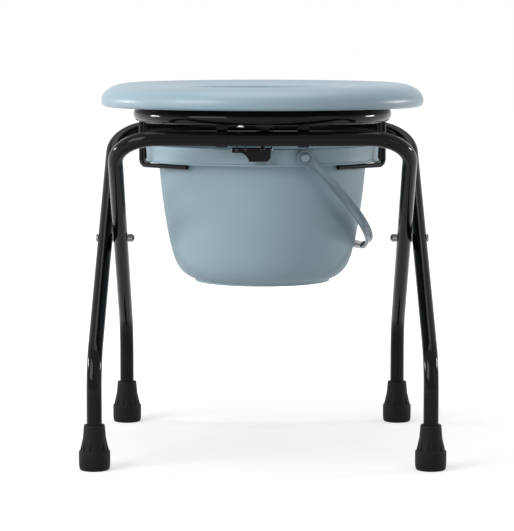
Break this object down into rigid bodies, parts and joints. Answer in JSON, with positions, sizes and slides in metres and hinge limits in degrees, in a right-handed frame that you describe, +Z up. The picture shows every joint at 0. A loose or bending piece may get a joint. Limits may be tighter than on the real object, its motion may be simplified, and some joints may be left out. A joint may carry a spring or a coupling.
{
  "type": "commode chair",
  "caption": "Folding commode stool: crossed tube legs with rubber feet, a rounded seat ring on a tube hoop, and a bail-handled bucket on wire rails under it.",
  "frame": {"origin": "on the floor, in the middle of the four feet, under the leg pivot", "axes": "+Z up, +X across the stool to its right as seen from the front, -Y to the front rail"},
  "size_m": [0.4568, 0.447, 0.4771],
  "materials": {
    "frame_enamel": "gloss",
    "fitting_enamel": "satin",
    "hardware": "satin",
    "rubber": "matt",
    "seat_plastic": "semi-gloss",
    "bucket_plastic": "semi-gloss",
    "bail_plastic": "semi-gloss",
    "pin_plastic": "semi-gloss",
    "flap_plastic": "matt"
  },
  "bodies": {
    "inner_frame": {"inner_frame": "frame_enamel", "pivot_nut_left": "hardware", "pivot_nut_right": "hardware", "pivot_pin_left": "hardware", "pivot_pin_right": "hardware", "pivot_washer_left": "hardware", "pivot_washer_right": "hardware", "rear_foot_left": "rubber", "rear_foot_right": "rubber", "rear_foot_washer_left": "hardware", "rear_foot_washer_right": "hardware"},
    "outer_frame": {"outer_frame": "frame_enamel", "front_foot_left": "rubber", "front_foot_right": "rubber", "front_foot_washer_left": "hardware", "front_foot_washer_right": "hardware"},
    "seat": {"hoop": "frame_enamel", "seat_shell": "seat_plastic", "seat_base": "seat_plastic", "bucket_stop_bracket": "fitting_enamel", "flap_pin": "hardware", "bucket_rail_left": "fitting_enamel", "bucket_rail_right": "fitting_enamel", "hinge_clip_left": "fitting_enamel", "hinge_clip_right": "fitting_enamel", "rear_rest_left": "fitting_enamel", "rear_rest_right": "fitting_enamel", "seat_screw_front": "hardware", "seat_screw_left": "hardware", "seat_screw_rear": "hardware", "seat_screw_right": "hardware"},
    "bucket": {"bucket": "bucket_plastic", "bail_pin_front": "pin_plastic", "bail_pin_rear": "pin_plastic"},
    "bail": {"bail": "bail_plastic"},
    "flap": {"stop_flap": "flap_plastic"}
  },
  "joints": [
    {"name": "leg_fold", "type": "hinge", "parent": "inner_frame", "child": "outer_frame", "pos_m": [0, 0, 0.2735], "axis": [1, 0, 0], "range_deg": [0, 34]},
    {"name": "seat_hinge", "type": "hinge", "parent": "inner_frame", "child": "seat", "pos_m": [0, -0.176, 0.411], "axis": [1, 0, 0], "range_deg": [0, 17]},
    {"name": "bucket_slide", "type": "slide", "parent": "seat", "child": "bucket", "axis": [0, 1, 0], "range_m": [0, 0.3]},
    {"name": "bail_swing", "type": "hinge", "parent": "bucket", "child": "bail", "pos_m": [0, 0, 0.38625], "axis": [0.3371, -0.9415, 0], "range_deg": [-1, 21]},
    {"name": "flap_swing", "type": "hinge", "parent": "seat", "child": "flap", "pos_m": [0, -0.16, 0.3973], "axis": [-1, 0, 0], "range_deg": [0, 80]}
  ],
  "couplings": [
    {"joint": "seat_hinge", "follows": "leg_fold", "ratio": 0.5}
  ]
}
